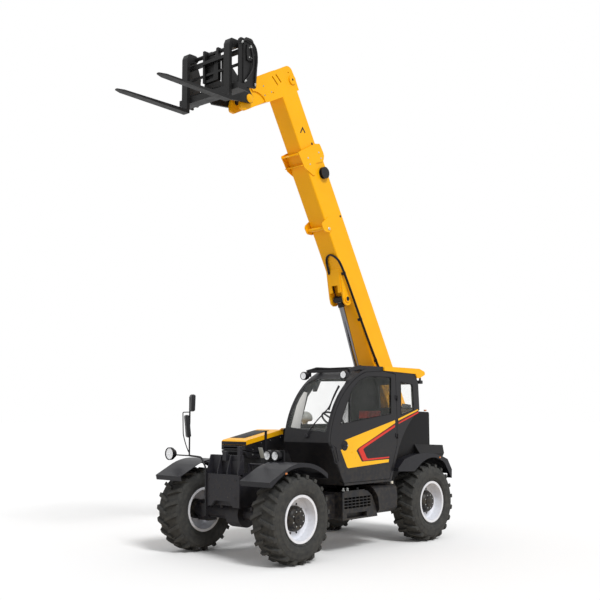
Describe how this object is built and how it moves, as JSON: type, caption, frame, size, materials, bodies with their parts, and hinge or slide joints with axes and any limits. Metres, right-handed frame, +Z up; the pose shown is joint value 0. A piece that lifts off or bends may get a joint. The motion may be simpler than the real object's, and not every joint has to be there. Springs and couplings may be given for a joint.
{
  "type": "telehandler",
  "caption": "Rigid telehandler with side cab, telescopic boom raised on its lift cylinder, pallet fork carriage and four-wheel steering.",
  "frame": {"origin": "on the ground under the middle of the whole machine's length, forks included, on its centre line", "axes": "+X forward, +Y to the machine's left, +Z up"},
  "size_m": [6.1219, 2.442, 7.6372],
  "materials": {
    "rubber_tyre": "matt, dusty",
    "wheel_silver": "satin",
    "hub_black": "satin",
    "axle_black": "satin",
    "chassis_grey": "satin",
    "engine_iron": "rough",
    "body_grey": "satin",
    "fender_plastic": "matt",
    "machine_yellow": "semi-gloss",
    "seat_black": "woven",
    "interior_black": "matt",
    "pad_plastic": "matt",
    "carriage_black": "satin",
    "cylinder_black": "satin",
    "rod_chrome": "polished",
    "glass": "clear",
    "lamp_black": "satin",
    "intake_grey": "satin"
  },
  "bodies": {
    "chassis": {"chassis_frame": "chassis_grey", "front_axle": "axle_black", "rear_axle": "axle_black", "front_plate": "chassis_grey", "nose_gussets": "chassis_grey", "counterweight": "chassis_grey", "engine": "engine_iron", "engine_bay": "body_grey", "tank": "body_grey", "step_box": "chassis_grey", "front_fenders": "fender_plastic", "rear_fenders": "fender_plastic", "cab_shell": "body_grey", "roof_cover": "machine_yellow", "roof_visor": "body_grey", "rear_cover": "body_grey", "seat": "seat_black", "console": "interior_black", "bay_wall": "body_grey", "fender_brackets": "chassis_grey", "cab_glass": "glass", "headlamps": "lamp_black", "roof_lamps": "lamp_black", "mirror_mast": "lamp_black"},
    "door": {"door": "body_grey", "door_glass": "glass"},
    "hood": {"hood": "machine_yellow", "hood_skirt": "body_grey", "air_cleaner": "intake_grey"},
    "steering_wheel": {"steering_wheel": "interior_black"},
    "boom": {"boom_outer": "machine_yellow", "boom_collar": "machine_yellow", "wear_pads": "pad_plastic", "lift_bracket": "machine_yellow", "hose_reel": "lamp_black"},
    "boom_extension": {"boom_inner": "machine_yellow", "boom_head": "machine_yellow"},
    "carriage": {"carriage": "carriage_black"},
    "fork_left": {"fork_left": "carriage_black"},
    "fork_right": {"fork_right": "carriage_black"},
    "lift_barrel": {"lift_barrel": "cylinder_black"},
    "lift_rod": {"lift_rod": "rod_chrome"},
    "tilt_barrel": {"tilt_barrel": "cylinder_black"},
    "tilt_rod": {"tilt_rod": "rod_chrome"},
    "knuckle_front_left": {"knuckle_front_left": "axle_black"},
    "wheel_front_left": {"tyre_front_left": "rubber_tyre", "rim_front_left": "wheel_silver", "hub_front_left": "hub_black"},
    "knuckle_front_right": {"knuckle_front_right": "axle_black"},
    "wheel_front_right": {"tyre_front_right": "rubber_tyre", "rim_front_right": "wheel_silver", "hub_front_right": "hub_black"},
    "knuckle_rear_left": {"knuckle_rear_left": "axle_black"},
    "wheel_rear_left": {"tyre_rear_left": "rubber_tyre", "rim_rear_left": "wheel_silver", "hub_rear_left": "hub_black"},
    "knuckle_rear_right": {"knuckle_rear_right": "axle_black"},
    "wheel_rear_right": {"tyre_rear_right": "rubber_tyre", "rim_rear_right": "wheel_silver", "hub_rear_right": "hub_black"}
  },
  "joints": [
    {"name": "steer_front_left", "type": "hinge", "parent": "chassis", "child": "knuckle_front_left", "pos_m": [1, 0.79, 0.627], "axis": [0, 0, 1], "range_deg": [-35, 35]},
    {"name": "spin_front_left", "type": "hinge", "parent": "knuckle_front_left", "child": "wheel_front_left", "pos_m": [1, 0.99, 0.627], "axis": [0, 1, 0], "continuous": true},
    {"name": "steer_front_right", "type": "hinge", "parent": "chassis", "child": "knuckle_front_right", "pos_m": [1, -0.79, 0.627], "axis": [0, 0, 1], "range_deg": [-35, 35]},
    {"name": "spin_front_right", "type": "hinge", "parent": "knuckle_front_right", "child": "wheel_front_right", "pos_m": [1, -0.99, 0.627], "axis": [0, 1, 0], "continuous": true},
    {"name": "steer_rear_left", "type": "hinge", "parent": "chassis", "child": "knuckle_rear_left", "pos_m": [-2.2, 0.79, 0.627], "axis": [0, 0, 1], "range_deg": [-35, 35]},
    {"name": "spin_rear_left", "type": "hinge", "parent": "knuckle_rear_left", "child": "wheel_rear_left", "pos_m": [-2.2, 0.99, 0.627], "axis": [0, 1, 0], "continuous": true},
    {"name": "steer_rear_right", "type": "hinge", "parent": "chassis", "child": "knuckle_rear_right", "pos_m": [-2.2, -0.79, 0.627], "axis": [0, 0, 1], "range_deg": [-35, 35]},
    {"name": "spin_rear_right", "type": "hinge", "parent": "knuckle_rear_right", "child": "wheel_rear_right", "pos_m": [-2.2, -0.99, 0.627], "axis": [0, 1, 0], "continuous": true},
    {"name": "steering_wheel_turn", "type": "hinge", "parent": "chassis", "child": "steering_wheel", "pos_m": [-0.28498, 0.68, 1.96812], "axis": [-0.6428, 0, 0.766], "range_deg": [-180, 180]},
    {"name": "door_hinge", "type": "hinge", "parent": "chassis", "child": "door", "pos_m": [-1.362, 1.133, 1.9], "axis": [0, 0, 1], "range_deg": [0, 80]},
    {"name": "hood_hinge", "type": "hinge", "parent": "chassis", "child": "hood", "pos_m": [-0.4, -0.331, 1.826], "axis": [-1, 0, 0], "range_deg": [0, 55]},
    {"name": "boom_lift", "type": "hinge", "parent": "chassis", "child": "boom", "pos_m": [-2.73, 0, 2.1], "axis": [0, -1, 0], "range_deg": [-65, 5]},
    {"name": "boom_extend", "type": "slide", "parent": "boom", "child": "boom_extension", "axis": [0.4848, 0, 0.8746], "range_m": [-0.75, 1.85]},
    {"name": "carriage_tilt", "type": "hinge", "parent": "boom_extension", "child": "carriage", "pos_m": [1.05932, 0, 6.85281], "axis": [0, -1, 0], "range_deg": [-45, 75]},
    {"name": "fork_left_slide", "type": "slide", "parent": "carriage", "child": "fork_left", "axis": [0, 1, 0], "range_m": [-0.2, 0.07]},
    {"name": "fork_right_slide", "type": "slide", "parent": "carriage", "child": "fork_right", "axis": [0, 1, 0], "range_m": [-0.07, 0.2]},
    {"name": "lift_barrel_hinge", "type": "hinge", "parent": "chassis", "child": "lift_barrel", "pos_m": [-2.49, 0, 1], "axis": [0, -1, 0], "range_deg": [-51.85, 4.45]},
    {"name": "lift_rod_slide", "type": "slide", "parent": "lift_barrel", "child": "lift_rod", "axis": [0.3681, 0, 0.9298], "range_m": [-1.0601, 0.0862]},
    {"name": "tilt_barrel_hinge", "type": "hinge", "parent": "boom_extension", "child": "tilt_barrel", "pos_m": [0.05445, 0, 7.43268], "axis": [0, -1, 0], "range_deg": [-1.2, 1.8]},
    {"name": "tilt_rod_slide", "type": "slide", "parent": "tilt_barrel", "child": "tilt_rod", "axis": [0.9461, 0, -0.324], "range_m": [-0.2517, 0.1522]}
  ],
  "couplings": [
    {"joint": "steer_front_right", "follows": "steer_front_left", "ratio": 1},
    {"joint": "steer_rear_right", "follows": "steer_rear_left", "ratio": 1},
    {"joint": "lift_barrel_hinge", "follows": "boom_lift", "ratio": 0.79},
    {"joint": "lift_rod_slide", "follows": "boom_lift", "m_per_rad": 0.93},
    {"joint": "tilt_barrel_hinge", "follows": "carriage_tilt", "ratio": 0.02},
    {"joint": "tilt_rod_slide", "follows": "carriage_tilt", "m_per_rad": -0.19}
  ]
}
